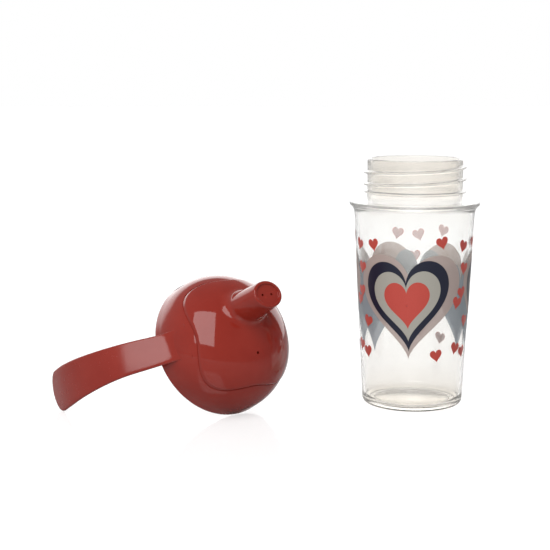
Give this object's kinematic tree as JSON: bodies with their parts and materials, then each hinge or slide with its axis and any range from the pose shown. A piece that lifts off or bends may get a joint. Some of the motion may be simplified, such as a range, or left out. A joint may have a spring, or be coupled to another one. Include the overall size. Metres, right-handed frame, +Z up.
{
  "type": "sippy cup",
  "caption": "Spill-proof drinking cup: clear tapered tumbler with a threaded neck, and a red dome lid with spout, vent and open carrying strap lying beside it.",
  "frame": {"origin": "centre of the cup's foot, on the table", "axes": "+Z up along the cup's axis; the lid lies on the -X side with its spout turned towards -Y, so +X points away from the lid along the longest extent"},
  "size_m": [0.2485, 0.098, 0.1437],
  "materials": {
    "clear_pp": "clear, slightly frosted polypropylene",
    "red_pp": "high gloss",
    "silicone": "milky silicone"
  },
  "bodies": {
    "cup": {"cup_body": "clear_pp"},
    "lid": {"lid_shell": "red_pp"},
    "valve": {"spill_valve": "silicone"}
  },
  "joints": [
    {"name": "lid_lift", "type": "slide", "parent": "cup", "child": "lid", "axis": [0, 0, 1], "range_m": [0, 0.15]},
    {"name": "valve_pull", "type": "slide", "parent": "lid", "child": "valve", "axis": [-0.5645, 0.6873, -0.4571], "range_m": [0, 0.03]}
  ]
}
